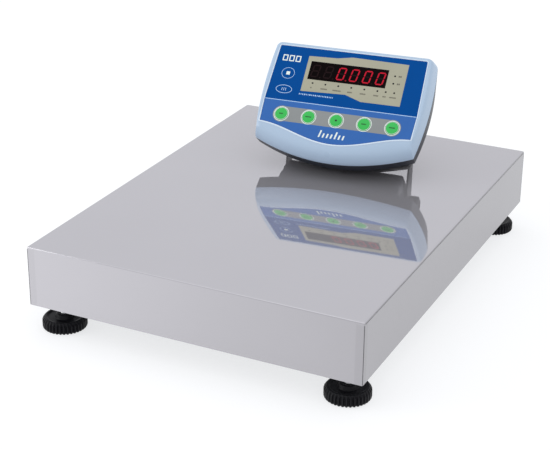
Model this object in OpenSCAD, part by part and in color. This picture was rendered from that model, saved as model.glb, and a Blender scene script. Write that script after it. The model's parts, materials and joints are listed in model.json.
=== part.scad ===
// Bench weighing scale: a folded platter on a load cell frame with four levelling feet,
// and an LED terminal that stands on the platter on a tilt bracket.
// Origin: floor level under the middle of the platter. +X right, -Y front, +Z up. Millimetres.

/* [Platter] */
// Width of the platter, left to right
platter_w = 450; // [375:5:540]
// Depth of the platter, front to back
platter_d = 600; // [500:5:720]
// Height of the platter's skirt
skirt_h = 80; // [78:1:96]
// Thickness of the platter's sheet
sheet = 1.5; // [1:0.1:1.8]
// Gap between the floor and the skirt
floor_gap = 36; // [36:1:44]
// Depth of the ribs under the platter
rib_h = 6; // [4:0.5:6]
// Width of one rib
rib_w = 30; // [24:1:36]

/* [Feet] */
// Distance from the platter's edge to a foot's axis
foot_inset = 30; // [29:1:36]
// Radius of a foot wheel
wheel_r = 28.5; // [22:0.5:34]
// Height of a foot wheel without its hub
wheel_h = 15; // [12:0.5:18]
// Radius of a foot stud
stud_r = 5; // [4:0.5:6]
// How far a foot screws out
foot_travel = 12; // [6:1:15]

/* [Frames] */
// Width of a lower rail
lower_rail_w = 40; // [30:1:48]
// Height of a lower rail
lower_rail_h = 25; // [21:1:30]
// Width of an upper rail
upper_rail_w = 30; // [24:1:36]
// Height of an upper rail
upper_rail_h = 25; // [20:1:30]
// Wall of the rails
tube_wall = 2.5; // [2:0.1:3]
// Gap between an overload stop and the rail above it
stop_gap = 1.1; // [1.1:0.1:2]

/* [Load cell] */
// Length of the load cell
cell_l = 150; // [125:1:180]
// Width of the load cell
cell_w = 40; // [33:1:48]
// Height of the load cell
cell_h = 25; // [21:1:30]
// Thickness of the spacers above and below the cell
spacer_h = 5; // [4:0.5:6]
// Thickness of the live end plate
live_plate_h = 8; // [7:0.5:10]
// Radius of the cell's bolts
cell_bolt_r = 4; // [3:0.5:5]

/* [Terminal place] */
// Right of the platter's centre
term_x = 12.4; // [-60:0.1:60]
// Behind the platter's centre
term_y = 101; // [-40:1:110]
// Turn of the terminal towards the front right
term_yaw = 5.4; // [-15:0.1:15]
// Slope of the panel above the horizontal
panel_tilt = 46.7; // [44:0.1:48]
// Height of the key row above the platter
key_row_z = 75; // [74:0.5:90]

/* [Terminal case] */
// Depth of the front bezel behind its front face
bezel_depth = 19; // [16:0.5:22]
// Depth of the rear case's rim behind the gasket
rim_depth = 17.2; // [14:0.2:17.4]
// Depth of the belly behind the rim
belly_depth = 44; // [37:1:45]
// Half the width of the belly where it meets the rim
belly_half_w = 89; // [80:0.5:92]
// Wall of the terminal's plastic shells
case_wall = 3; // [2:0.1:3.4]

/* [Panel] */
// Radius of a key cap
key_r = 9.5; // [8:0.1:11.4]
// Distance between keys
key_pitch = 40; // [34:0.5:42]
// How far a key travels
key_travel = 0.5; // [0.3:0.1:0.6]
// Width of the display window
window_w = 113; // [90:1:136]
// Height of the display window
window_h = 28; // [23:0.5:34]
// Height of the display window's centre above the key row
window_y = 71; // [68:0.5:76]

/* [Tilt bracket] */
// Thickness of the bracket's sheet
bracket_t = 2.5; // [2:0.1:3]
// Thickness of the pads under the bracket
pad_h = 2; // [1.5:0.1:3]
// Radius of the rounded arm top
arm_r = 14; // [12:0.5:15]
// Radius of the clamp screw
clamp_r = 3; // [2.5:0.1:4]
// Height of the tilt pivot above the key row, along the panel
pivot_up = 30; // [26:0.5:34]
// Depth of the tilt pivot behind the panel
pivot_back = 54; // [53:0.5:58]

/* [Hidden] */
eps = 0.05;
run_gap = 0.05;
free_gap = 0.4;
$fn = 48;

platter_top = floor_gap + skirt_h;
platter_in_z = platter_top - sheet;

foot_x = platter_w / 2 - foot_inset;
foot_y = platter_d / 2 - foot_inset;
SIDES = [-1, 1];
CORNERS = [for (i = SIDES, j = SIDES) [i, j]];

// Heights of the weighing stack, from the platter down to the lower rails
buffer_h = rib_h + 0.5;
upper_top = platter_in_z - buffer_h;
upper_bottom = upper_top - upper_rail_h;
cell_top = upper_top - live_plate_h - spacer_h;
cell_bottom = cell_top - cell_h;
lower_top = cell_bottom - spacer_h;
lower_bottom = lower_top - lower_rail_h;

// Places of the rails
upper_x = foot_x - lower_rail_w / 2 - upper_rail_w / 2 - 10;
lower_side_l = platter_d - 28;
lower_end_y = foot_y - 40;
upper_side_l = 2 * foot_y - 30;
upper_end_y = lower_end_y - 5;
upper_end_w = 25;
buffer_y = lower_end_y - 40;
buffer_r = 12;

// Load cell mounting
cell_end = 40;
cell_hole_gap = 20;
fixed_y = -(cell_l - cell_end) / 2;
live_y = -fixed_y;
bolt_ys = [-cell_hole_gap / 2, cell_hole_gap / 2];
bolt_head_r = cell_bolt_r * 1.625;
bolt_head_h = cell_bolt_r * 2;
beam_w = cell_end + 10;
beam_web = 6;

// Foot parts
wheel_floor = 5;
hub_r = stud_r + 5;
hub_h = 4;
bush_r = stud_r + 4;
bush_drop = 4;
lock_nut_h = 6;
lock_nut_r = stud_r * 1.9;
rib_count = 36;

// Base gland
gland_x = 60;
gland_z = 22;
gland_bore_r = 3.2;
gland_thread_r = 6.5;
gland_hex_r = 9.5;
tab_t = 3;
tab_y = lower_end_y + lower_rail_w / 2;

// Front panel of the terminal: x along the key row, y up the panel, z out of it
KEYS = [for (k = [-2:2]) k * key_pitch];
lip = 0.8;
recess = 0.6;
panel_back = -recess - case_wall;
bezel_back = lip - bezel_depth - 0.8;
gasket_t = 0.8;
rim_front = bezel_back - gasket_t;
rim_back = rim_front - rim_depth;
belly_back = rim_back - belly_depth;
board_z = -8.6;
board_t = 1.6;
board_half_w = 2 * key_pitch + 8;
board_low = -18;
board_high = 96;
main_board_z = rim_back - 3;
lamp_r = 1.2;
digit_pitch = window_w / 6;

// Lamps: a row under the window, and two beside it
window_half = window_w / 2;
lamp_row_y = window_y - window_h / 2 - 5.3;
LAMPS = concat(
    [for (s = [-5, -3, -1, 1, 3, 5]) [s * window_half / 6, lamp_row_y]],
    [for (x = [2.5, 14.5]) [window_half + x, lamp_row_y]],
    [for (y = [-5.5, 6]) [window_half + 10, window_y + y]]
);

// Outlines of the shells: half widths at the lower corner, middle and top, then the heights of the
// lower corner, top and lowest point, then the radius of the top corners
FRONT_EDGE = [113, 115.5, 112, -17, 109.5, -39.5, 9];
PARTING = [114, 121.5, 116.5, -33, 113.5, -57, 12];
RIM_EDGE = [113, 120.5, 117.5, -32, 80, -56, 12];

// Right half of the overlay: half width and height of its top, widest place and lower corner
OVERLAY_TOP = [107, 104.5];
OVERLAY_MID = [110, 20.5];
OVERLAY_LOW = [108.6, -13.6];
bell_drop = 22;

// Belly slices: share of the belly's depth, narrowing, low edge and high edge
BELLY = [[0, 0, -31, 74], [0.35, 0.5, -26.5, 73], [0.68, 1.5, -20.5, 70], [1, 3, -11.5, 64]];
belly_corner = 8;

// Screw bosses that join the two shells
BOSSES = [[-104, -20], [104, -20], [-104, 64], [104, 64]];
boss_r = 4.5;
screw_r = 1.5;
screw_head_r = 3.2;
screw_head_h = 2.4;
POSTS = [[-74, -12], [-74, 60], [74, 60], [74, 36]];
post_r = 3.5;
BOARD_POSTS = [[-60, -14], [60, -14], [-78, 92], [78, 92]];
board_post_r = 3;

// Tilt bracket, in its own frame: x along the pivot, y back from the key row, z above the platter
arm_in = belly_half_w + 0.5;
arm_out = arm_in + bracket_t;
pivot_y = pivot_up * cos(panel_tilt) + pivot_back * sin(panel_tilt);
pivot_z = key_row_z + pivot_up * sin(panel_tilt) - pivot_back * cos(panel_tilt);
base_plate_z = pad_h;
arm_foot = [58, 76];
BASE_PLATE = [[-50, 26], [50, 26], [arm_out, arm_foot[0]], [arm_out, arm_foot[1]], [60, 92],
    [-60, 92], [-arm_out, arm_foot[1]], [-arm_out, arm_foot[0]]];
PADS = [[-44, 35], [44, 35], [-50, 82], [50, 82]];
pad_r = 7;
bracket_hole_r = 2.75;
bracket_hole_x = 30;
bracket_hole_y = 80;
knob_r = 14;
knob_h = 15;

// Back of the belly: glands and power switch in one row
BACK_GLANDS = [-52, 48];
switch_x = -8;
switch_y = 46;
rocker_half_l = 7.2;
rocker_half_w = 4.8;
rocker_on = 8;
rocker_pivot_z = belly_back + 1;

// ---------- shared shapes ----------

// Square tube of outer size w x h along X or Y, from its middle
module tube_y(w, h, l) {
    difference() {
        translate([-w / 2, -l / 2, 0]) cube([w, l, h]);
        translate([-w / 2 + tube_wall, -l / 2 - 1, tube_wall])
            cube([w - 2 * tube_wall, l + 2, h - 2 * tube_wall]);
    }
}

module tube_x(w, h, l) {
    rotate([0, 0, 90]) tube_y(w, h, l);
}

module bar(x0, x1, y0, y1, z0, z1) {
    translate([x0, y0, z0]) cube([x1 - x0, y1 - y0, z1 - z0]);
}

module hex_nut(r_out, r_hole, h) {
    difference() {
        cylinder(r = r_out, h = h, $fn = 6);
        translate([0, 0, -1]) cylinder(r = r_hole, h = h + 2);
    }
}

// Socket head screw, head above z = 0 and shank below it
module cap_screw(r, l, head_r, head_h) {
    difference() {
        union() {
            cylinder(r = head_r, h = head_h);
            translate([0, 0, -l]) cylinder(r = r, h = l + eps);
        }
        translate([0, 0, head_h / 2]) cylinder(r = r * 0.8, h = head_h, $fn = 6);
    }
}

// Cable gland along +Z: lock nut inside the wall, hexagon and domed nut outside it, one bore through
module gland(wall_t) {
    difference() {
        union() {
            translate([0, 0, -wall_t - 5]) cylinder(r = gland_hex_r, h = 5, $fn = 6);
            translate([0, 0, -wall_t - 8]) cylinder(r = gland_thread_r, h = wall_t + 9);
            cylinder(r = gland_hex_r, h = 5, $fn = 6);
            translate([0, 0, 5 - eps]) cylinder(r = gland_hex_r - 1.4, h = 6);
            translate([0, 0, 11 - 2 * eps]) cylinder(r1 = gland_hex_r - 1.4, r2 = gland_bore_r + 1.4, h = 4);
        }
        translate([0, 0, -wall_t - 20]) cylinder(r = gland_bore_r, h = wall_t + 60);
    }
}

module at_corners(x, y, z) {
    for (c = CORNERS) translate([c[0] * x, c[1] * y, z]) children();
}

module at_bracket() {
    translate([term_x, term_y, platter_top]) rotate([0, 0, term_yaw]) children();
}

module at_panel() {
    at_bracket() translate([0, 0, key_row_z]) rotate([panel_tilt, 0, 0]) children();
}

// Child drawn along +Z is laid along the tilt axis, on the side s
module at_pivot(s, x) {
    at_panel() translate([s * x, pivot_up, -pivot_back]) rotate([0, s * 90, 0]) children();
}

// Half width of an outline at height y: a smooth curve through its three stated half widths
function side_half(y, o) = let (a = o[3], c = o[4], b = (a + c) / 2)
    o[0] * (y - b) * (y - c) / ((a - b) * (a - c))
    + o[1] * (y - a) * (y - c) / ((b - a) * (b - c))
    + o[2] * (y - a) * (y - b) / ((c - a) * (c - b));

function right_half(o) = let (top = o[4] - o[6], x = side_half(top, o)) concat(
    [for (k = [0:7]) [o[0] * k / 8, o[5] + (o[3] - o[5]) * pow(k / 8, 2)]],
    [for (k = [0:5]) let (y = o[3] + (top - o[3]) * k / 6) [side_half(y, o), y]],
    [for (a = [0:15:90]) [x - o[6] + o[6] * cos(a), top + o[6] * sin(a)]]
);

function outline(o) = let (r = right_half(o), n = len(r)) concat(
    r,
    [for (k = [n - 1:-1:1]) [-r[k][0], r[k][1]]]
);

function inset(o, d) = [o[0] - d, o[1] - d, o[2] - d, o[3] + d * 0.8, o[4] - d, o[5] + d, max(o[6] - d, 1)];
function mix(a, b, s) = [for (i = [0:6]) a[i] + (b[i] - a[i]) * s];

module slice(o, z, h = 0.1) {
    translate([0, 0, z]) linear_extrude(h) polygon(outline(o));
}

// ---------- base frame ----------

module lower_side_rails() {
    color("silver")
    for (s = SIDES) difference() {
        translate([s * foot_x, 0, lower_bottom]) tube_y(lower_rail_w, lower_rail_h, lower_side_l);
        for (t = SIDES) translate([s * foot_x, t * foot_y, lower_bottom - 1])
            cylinder(r = bush_r + run_gap, h = tube_wall + 2);
    }
}

module lower_end_rails() {
    color("silver")
    difference() {
        union() {
            for (t = SIDES) translate([0, t * lower_end_y, lower_bottom])
                tube_x(lower_rail_w, lower_rail_h, 2 * foot_x - lower_rail_w);
            bar(gland_x - 14, gland_x + 14, tab_y, tab_y + tab_t, gland_z - 12, lower_top - 5);
        }
        for (c = CORNERS) translate([c[0] * upper_x, c[1] * lower_end_y, lower_top - tube_wall - 1])
            cylinder(r = cell_bolt_r + run_gap, h = tube_wall + 2);
        translate([gland_x, tab_y - 1, gland_z]) rotate([-90, 0, 0])
            cylinder(r = gland_thread_r + run_gap, h = tab_t + 2);
    }
}

// Channel, open below, that carries the fixed end of the load cell
module load_cell_beam() {
    beam_half = foot_x - lower_rail_w / 2;
    color("silver")
    difference() {
        bar(-beam_half, beam_half, fixed_y - beam_w / 2, fixed_y + beam_w / 2, lower_bottom, lower_top);
        bar(-beam_half - 1, beam_half + 1, fixed_y - beam_w / 2 + 4, fixed_y + beam_w / 2 - 4,
            lower_bottom - 1, lower_top - beam_web);
        for (y = bolt_ys) translate([0, fixed_y + y, lower_top - beam_web - 1])
            cylinder(r = cell_bolt_r + run_gap, h = beam_web + 2);
    }
}

module rail_end_caps() {
    in_w = lower_rail_w - 2 * tube_wall - 0.2;
    in_h = lower_rail_h - 2 * tube_wall - 0.2;
    color([0.1, 0.1, 0.1])
    for (c = CORNERS) translate([c[0] * foot_x, c[1] * lower_side_l / 2, lower_bottom + lower_rail_h / 2]) {
        translate([0, c[1] * 1, 0]) cube([lower_rail_w, 2, lower_rail_h], center = true);
        translate([0, -c[1] * 2, 0]) cube([in_w, 4, in_h], center = true);
    }
}

module foot_bushes() {
    color("silver")
    at_corners(foot_x, foot_y, lower_bottom - bush_drop) difference() {
        cylinder(r = bush_r, h = lower_rail_h - tube_wall + bush_drop - 0.5);
        translate([0, 0, -1]) cylinder(r = stud_r + run_gap, h = lower_rail_h + bush_drop);
    }
}

module foot_lock_nuts() {
    color("gainsboro")
    at_corners(foot_x, foot_y, lower_bottom - bush_drop - lock_nut_h)
        hex_nut(lock_nut_r, stud_r + run_gap, lock_nut_h);
}

module spacer_block(y) {
    difference() {
        translate([-cell_w / 2, y - cell_end / 2, 0]) cube([cell_w, cell_end, spacer_h]);
        for (b = bolt_ys) translate([0, y + b, -1]) cylinder(r = cell_bolt_r + free_gap, h = spacer_h + 2);
    }
}

module lower_spacer() {
    color("darkgray") translate([0, 0, lower_top]) spacer_block(fixed_y);
}

cell_hole_r = cell_h * 0.36;
cell_hole_y = cell_hole_r + 4;
cell_slot = 5;

module binocular(r, slot, l) {
    for (s = SIDES) translate([-l / 2, s * cell_hole_y, cell_bottom + cell_h / 2])
        rotate([0, 90, 0]) cylinder(r = r, h = l);
    bar(-l / 2, l / 2, -cell_hole_y, cell_hole_y,
        cell_bottom + cell_h / 2 - slot / 2, cell_bottom + cell_h / 2 + slot / 2);
}

module load_cell() {
    color("lightgray")
    difference() {
        bar(-cell_w / 2, cell_w / 2, -cell_l / 2, cell_l / 2, cell_bottom, cell_top);
        binocular(cell_hole_r, cell_slot, cell_w + 2);
        for (e = [fixed_y, live_y], b = bolt_ys) translate([0, e + b, cell_bottom - 1])
            cylinder(r = cell_bolt_r + free_gap, h = cell_h + 2);
    }
}

module load_cell_potting() {
    color("whitesmoke") binocular(cell_hole_r - 0.1, cell_slot - 0.2, cell_w - 6);
}

module fixed_end_bolts() {
    color("dimgray")
    for (b = bolt_ys) translate([0, fixed_y + b, cell_top])
        cap_screw(cell_bolt_r, cell_h + spacer_h + beam_web, bolt_head_r, bolt_head_h);
}

module overload_stops() {
    top = upper_bottom - stop_gap;
    color("dimgray")
    at_corners(upper_x, lower_end_y, lower_top - tube_wall - 6)
        cylinder(r = cell_bolt_r, h = top - lower_top + tube_wall + 6);
}

module stop_lock_nuts() {
    color("gainsboro")
    at_corners(upper_x, lower_end_y, lower_top) hex_nut(7.5, cell_bolt_r + run_gap, 6.5);
}

level_y = -platter_d / 4;

module level_body() {
    color("dimgray")
    translate([-foot_x, level_y, lower_top]) difference() {
        cylinder(r = 12, h = 10);
        translate([0, 0, 2]) cylinder(r = 9.5, h = 9);
    }
}

module level_vial() {
    color([0.75, 0.9, 0.3, 0.6])
    translate([-foot_x, level_y, lower_top + 2]) cylinder(r = 9.4, h = 7);
}

module base_gland() {
    color([0.12, 0.12, 0.12])
    translate([gland_x, tab_y + tab_t, gland_z]) rotate([-90, 0, 0]) gland(tab_t);
}

// ---------- load frame ----------

module upper_side_rails() {
    color("silver")
    for (s = SIDES) translate([s * upper_x, 0, upper_bottom])
        tube_y(upper_rail_w, upper_rail_h, upper_side_l);
}

module upper_end_rails() {
    color("silver")
    for (t = SIDES) translate([0, t * upper_end_y, upper_bottom])
        tube_x(upper_end_w, upper_rail_h, 2 * upper_x - upper_rail_w);
}

module live_end_plate() {
    half = upper_x - upper_rail_w / 2;
    color("silver")
    difference() {
        bar(-half, half, live_y - beam_w / 2, live_y + beam_w / 2, upper_top - live_plate_h, upper_top);
        for (b = bolt_ys) translate([0, live_y + b, upper_top - live_plate_h - 1])
            cylinder(r = cell_bolt_r + run_gap, h = live_plate_h + 2);
    }
}

module upper_spacer() {
    color("darkgray") translate([0, 0, cell_top]) spacer_block(live_y);
}

module live_end_bolts() {
    color("dimgray")
    for (b = bolt_ys) translate([0, live_y + b, cell_bottom]) rotate([180, 0, 0])
        cap_screw(cell_bolt_r, cell_h + spacer_h + live_plate_h - 2, bolt_head_r, bolt_head_h);
}

module platter_buffers() {
    color([0.08, 0.08, 0.08])
    at_corners(upper_x, buffer_y, upper_top) cylinder(r = buffer_r, h = buffer_h);
}

// ---------- platter ----------

module platter() {
    color([0.78, 0.78, 0.8])
    difference() {
        bar(-platter_w / 2, platter_w / 2, -platter_d / 2, platter_d / 2, floor_gap, platter_top);
        bar(-platter_w / 2 + sheet, platter_w / 2 - sheet, -platter_d / 2 + sheet, platter_d / 2 - sheet,
            floor_gap - 1, platter_in_z);
    }
}

// Hat shaped ribs welded under the sheet
module platter_ribs() {
    rib_l = platter_d - 40;
    flange = 6;
    color([0.7, 0.7, 0.72])
    for (x = [-upper_x / 2, 0, upper_x / 2]) difference() {
        union() {
            bar(x - rib_w / 2, x + rib_w / 2, -rib_l / 2, rib_l / 2, platter_in_z - sheet, platter_in_z);
            bar(x - rib_w / 2 + flange, x + rib_w / 2 - flange, -rib_l / 2, rib_l / 2,
                platter_in_z - rib_h, platter_in_z);
        }
        bar(x - rib_w / 2 + flange + sheet, x + rib_w / 2 - flange - sheet, -rib_l / 2 - 1, rib_l / 2 + 1,
            platter_in_z - rib_h + sheet, platter_in_z + 1);
    }
}

// ---------- feet ----------

module foot_stud(c) {
    color("gainsboro")
    translate([c[0] * foot_x, c[1] * foot_y, wheel_floor])
        cylinder(r = stud_r, h = lower_top - tube_wall - 2 - wheel_floor);
}

module foot_wheel(c) {
    color([0.07, 0.07, 0.08])
    translate([c[0] * foot_x, c[1] * foot_y, 0]) difference() {
        rotate_extrude($fn = 96) polygon([[0, 0], [wheel_r - 1.5, 0], [wheel_r, 1.5],
            [wheel_r, wheel_h - 4], [wheel_r - 3.5, wheel_h], [wheel_r - 7, wheel_h - 1.5],
            [hub_r + 2, wheel_h - 1.5], [hub_r, wheel_h + hub_h], [0, wheel_h + hub_h]]);
        for (k = [0:rib_count - 1]) rotate([0, 0, k * 360 / rib_count])
            translate([wheel_r + 0.5, 0, -1]) cylinder(r = 1.5, h = wheel_h + 4, $fn = 16);
        translate([0, 0, wheel_floor - run_gap]) cylinder(r = stud_r + run_gap, h = wheel_h + hub_h);
    }
}

// ---------- tilt bracket ----------

// Arm outline in the plane across the tilt axis
module arm_plate() {
    difference() {
        union() {
            polygon([[arm_foot[0], base_plate_z], [arm_foot[1], base_plate_z],
                [pivot_y + arm_r, pivot_z], [pivot_y - arm_r, pivot_z]]);
            translate([pivot_y, pivot_z]) circle(r = arm_r);
        }
        translate([pivot_y, pivot_z]) circle(r = clamp_r + 0.3);
    }
}

module tilt_bracket() {
    color([0.16, 0.17, 0.19])
    at_bracket() {
        translate([0, 0, base_plate_z]) linear_extrude(bracket_t) difference() {
            polygon(BASE_PLATE);
            for (s = SIDES) translate([s * bracket_hole_x, bracket_hole_y]) circle(r = bracket_hole_r);
        }
        for (x = [-arm_out, arm_in]) translate([x, 0, 0])
            rotate([90, 0, 90]) linear_extrude(bracket_t) arm_plate();
    }
}

module bracket_pads() {
    color([0.05, 0.05, 0.05])
    at_bracket() for (p = PADS) translate([p[0], p[1], 0]) cylinder(r = pad_r, h = pad_h);
}

// ---------- terminal shells ----------

// Convex front shell: its section rounds from the front face back to the parting line
module bezel_solid(d, z_front, z_back) {
    steps = 5;
    hull() for (k = [0:steps]) {
        t = k / steps;
        slice(inset(mix(FRONT_EDGE, PARTING, sqrt(1 - pow(1 - t, 2))), d),
            z_front + (z_back - z_front - (t == 0 ? 0.1 : 0)) * t - (t == 0 ? 0.1 : 0));
    }
}

// Outline of the overlay: straight top and sides, and a bell shaped lower edge
function bell_y(x) = OVERLAY_LOW[1] - bell_drop * pow(cos(min(abs(x) / OVERLAY_LOW[0], 1) * 90), 1.8);
function overlay_points(d) = concat(
    [for (p = [OVERLAY_TOP, OVERLAY_MID]) [-p[0] + d, p[1] - (p == OVERLAY_TOP ? d : 0)]],
    [[-OVERLAY_LOW[0] + d, OVERLAY_LOW[1] + d]],
    [for (k = [-11:11]) let (x = k * OVERLAY_LOW[0] / 12) [x, bell_y(x) + d]],
    [[OVERLAY_LOW[0] - d, OVERLAY_LOW[1] + d]],
    [for (p = [OVERLAY_MID, OVERLAY_TOP]) [p[0] - d, p[1] - (p == OVERLAY_TOP ? d : 0)]]
);

module window_hole(gap, z, h) {
    translate([-window_w / 2 - gap, window_y - window_h / 2 - gap, z])
        cube([window_w + 2 * gap, window_h + 2 * gap, h]);
}

module panel_holes(z, h) {
    for (x = KEYS) translate([x, 0, z]) cylinder(r = key_r + free_gap, h = h);
    for (p = LAMPS) translate([p[0], p[1], z]) cylinder(r = lamp_r + 0.2, h = h, $fn = 24);
}

module front_bezel() {
    color([0.66, 0.76, 0.9])
    at_panel() difference() {
        union() {
            difference() {
                bezel_solid(0, lip, bezel_back);
                bezel_solid(case_wall, panel_back, bezel_back - 1);
            }
            for (b = BOSSES) translate([b[0], b[1], bezel_back])
                cylinder(r = boss_r, h = panel_back - bezel_back + eps);
            for (p = BOARD_POSTS) translate([p[0], p[1], board_z + board_t])
                cylinder(r = board_post_r, h = panel_back - board_z - board_t + eps);
        }
        translate([0, 0, -recess]) linear_extrude(recess + lip + 1) polygon(overlay_points(-0.2));
        window_hole(0.2, panel_back - 1, case_wall + 3);
        panel_holes(panel_back - 1, case_wall + 3);
        for (b = BOSSES) translate([b[0], b[1], bezel_back - 1])
            cylinder(r = screw_r + run_gap, h = bezel_depth - 8);
    }
}

// Closed outside of the rear case, or its inside when d is the wall
module case_solid(d, z_front) {
    hull() {
        slice(inset(PARTING, d), z_front - 0.1);
        slice(inset(RIM_EDGE, d), rim_back + d);
    }
    hull() for (b = BELLY) {
        z = rim_back - belly_depth * b[0] + (b[0] > 0 ? d : 1 + d);
        half = belly_half_w - b[1] - belly_corner - d;
        for (i = SIDES, y = [b[2] + d + belly_corner, b[3] - d - belly_corner])
            translate([i * half, y, z]) cylinder(r = belly_corner, h = 0.1, $fn = 32);
    }
}

module rear_case() {
    inner_back = belly_back + case_wall;
    color([0.13, 0.15, 0.2])
    at_panel() difference() {
        union() {
            difference() {
                case_solid(0, rim_front);
                case_solid(case_wall, rim_front + 1);
            }
            for (b = BOSSES) translate([b[0], b[1], rim_back + eps])
                cylinder(r = boss_r, h = rim_depth - eps);
            for (p = POSTS) translate([p[0], p[1], inner_back - eps])
                cylinder(r = post_r, h = main_board_z - inner_back + eps);
            for (s = SIDES) translate([s * (belly_half_w - 12), pivot_up, -pivot_back])
                rotate([0, s * 90, 0]) cylinder(r = 9, h = 12);
        }
        for (b = BOSSES) translate([b[0], b[1], rim_back - 1]) {
            cylinder(r = screw_r + 0.3, h = rim_depth + 2);
            cylinder(r = screw_head_r + 0.3, h = screw_head_h + 1.6);
        }
        for (s = SIDES) translate([s * (belly_half_w - 14), pivot_up, -pivot_back])
            rotate([0, s * 90, 0]) cylinder(r = clamp_r + 2 + run_gap, h = 16);
        for (x = BACK_GLANDS) translate([x, switch_y, belly_back - 1])
            cylinder(r = gland_thread_r + run_gap, h = case_wall + 2);
        translate([switch_x - 6.5, switch_y - 9.5, belly_back - 1]) cube([13, 19, case_wall + 2]);
    }
}

module case_gasket() {
    color([0.05, 0.05, 0.06])
    at_panel() translate([0, 0, rim_front]) linear_extrude(gasket_t) difference() {
        polygon(outline(inset(PARTING, 0.8)));
        polygon(outline(inset(PARTING, case_wall)));
    }
}

module front_overlay() {
    color([0.0, 0.32, 0.63])
    at_panel() difference() {
        translate([0, 0, -recess]) linear_extrude(recess) polygon(overlay_points(0));
        window_hole(0.1, -recess - 1, 3);
        panel_holes(-recess - 1, 3);
    }
}

module display_window() {
    color([0.05, 0.0, 0.0])
    at_panel() window_hole(0, -2.4, 2.2);
}

module display_board() {
    color([0.05, 0.35, 0.15])
    at_panel() translate([-board_half_w, board_low, board_z])
        cube([2 * board_half_w, board_high - board_low, board_t]);
}

module digit_modules() {
    color([0.15, 0.15, 0.15])
    at_panel() for (k = [0:5]) translate([-window_w / 2 + digit_pitch * k + 0.3, window_y - 13,
        board_z + board_t]) cube([digit_pitch - 0.6, 26, -2.6 - board_z - board_t]);
}

module indicator_lamps() {
    color([0.1, 0.1, 0.1])
    at_panel() for (p = LAMPS) translate([p[0], p[1], board_z + board_t])
        cylinder(r = lamp_r, h = -board_z - board_t - 0.1, $fn = 24);
}

module key_switches() {
    color("dimgray")
    at_panel() for (x = KEYS) translate([x - 3, -3, board_z + board_t]) cube([6, 6, 0.6]);
}

module main_board() {
    color([0.05, 0.35, 0.15])
    at_panel() translate([-80, -20, main_board_z]) cube([160, 86, board_t]);
}

module battery() {
    color([0.2, 0.2, 0.22])
    at_panel() translate([-64, -8, belly_back + case_wall + 0.2]) cube([97, 40, 24]);
}

module transformer() {
    color([0.55, 0.45, 0.2])
    at_panel() translate([38, -8, belly_back + case_wall + 0.2]) cube([38, 36, 30]);
}

module case_screws() {
    color("silver")
    at_panel() for (b = BOSSES) translate([b[0], b[1], rim_back + screw_head_h + 0.4])
        rotate([180, 0, 0]) cap_screw(screw_r, rim_depth + 6, screw_head_r, screw_head_h);
}

module knob_inserts() {
    color([0.8, 0.65, 0.3])
    for (s = SIDES) at_pivot(s, belly_half_w - 12) difference() {
        cylinder(r = clamp_r + 2, h = 11.8);
        translate([0, 0, -1]) cylinder(r = clamp_r + run_gap, h = 14);
    }
}

module mains_gland() {
    color([0.1, 0.1, 0.1])
    at_panel() translate([BACK_GLANDS[0], switch_y, belly_back]) rotate([180, 0, 0]) gland(case_wall);
}

module signal_gland() {
    color([0.1, 0.1, 0.1])
    at_panel() translate([BACK_GLANDS[1], switch_y, belly_back]) rotate([180, 0, 0]) gland(case_wall);
}

// Rocker outline across its pivot, at the middle of its swing
module rocker_shape(grow) {
    translate([-rocker_half_l - grow, -4]) square([2 * (rocker_half_l + grow), 5.5 + grow]);
}

module switch_frame() {
    color([0.06, 0.06, 0.06])
    at_panel() translate([switch_x, switch_y, belly_back]) difference() {
        union() {
            translate([-8, -11, -1.6]) cube([16, 22, 1.6]);
            translate([-6.3, -9.3, -eps]) cube([12.6, 18.6, 12]);
        }
        translate([-rocker_half_w - free_gap, -rocker_half_l - 1, -3])
            cube([2 * (rocker_half_w + free_gap), 2 * rocker_half_l + 2, 8]);
        translate([-6, 0, rocker_pivot_z - belly_back]) rotate([0, 90, 0])
            cylinder(r = 1 + run_gap, h = 12);
    }
}

module power_rocker() {
    color([0.75, 0.1, 0.08])
    at_panel() translate([switch_x, switch_y, rocker_pivot_z]) rotate([rocker_on, 0, 0]) {
        translate([-rocker_half_w, 0, 0]) rotate([90, 0, 90])
            linear_extrude(2 * rocker_half_w) rocker_shape(0);
        translate([-5.9, 0, 0]) rotate([0, 90, 0]) cylinder(r = 1, h = 11.8);
    }
}

// ---------- keys and knobs ----------

// Key cap with a low crown and a flange that keeps it behind the panel
module key_cap(i) {
    key_bottom = board_z + board_t + 0.6 + key_travel + 0.1;
    color([0.24, 0.8, 0.38])
    at_panel() translate([KEYS[i], 0, 0]) rotate_extrude() polygon([[0, key_bottom],
        [key_r + 1.1, key_bottom], [key_r + 1.1, panel_back - 0.2], [key_r, panel_back - 0.2],
        [key_r, 0.3], [key_r - 0.8, 0.75], [key_r * 0.6, 0.95], [0, 1.05]]);
}

module clamp_knob(s) {
    lobes = 6;
    color([0.08, 0.08, 0.09])
    at_pivot(s, arm_out + free_gap) difference() {
        union() {
            cylinder(r = knob_r, h = knob_h);
            translate([0, 0, -bracket_t - free_gap - 11]) cylinder(r = clamp_r, h = bracket_t + 12);
        }
        for (k = [0:lobes - 1]) rotate([0, 0, k * 360 / lobes])
            translate([knob_r + 2.5, 0, -1]) cylinder(r = 5, h = knob_h + 2);
        translate([0, 0, knob_h - 1]) cylinder(r = knob_r - 6, h = 2);
    }
}

// ---------- output ----------

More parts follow.
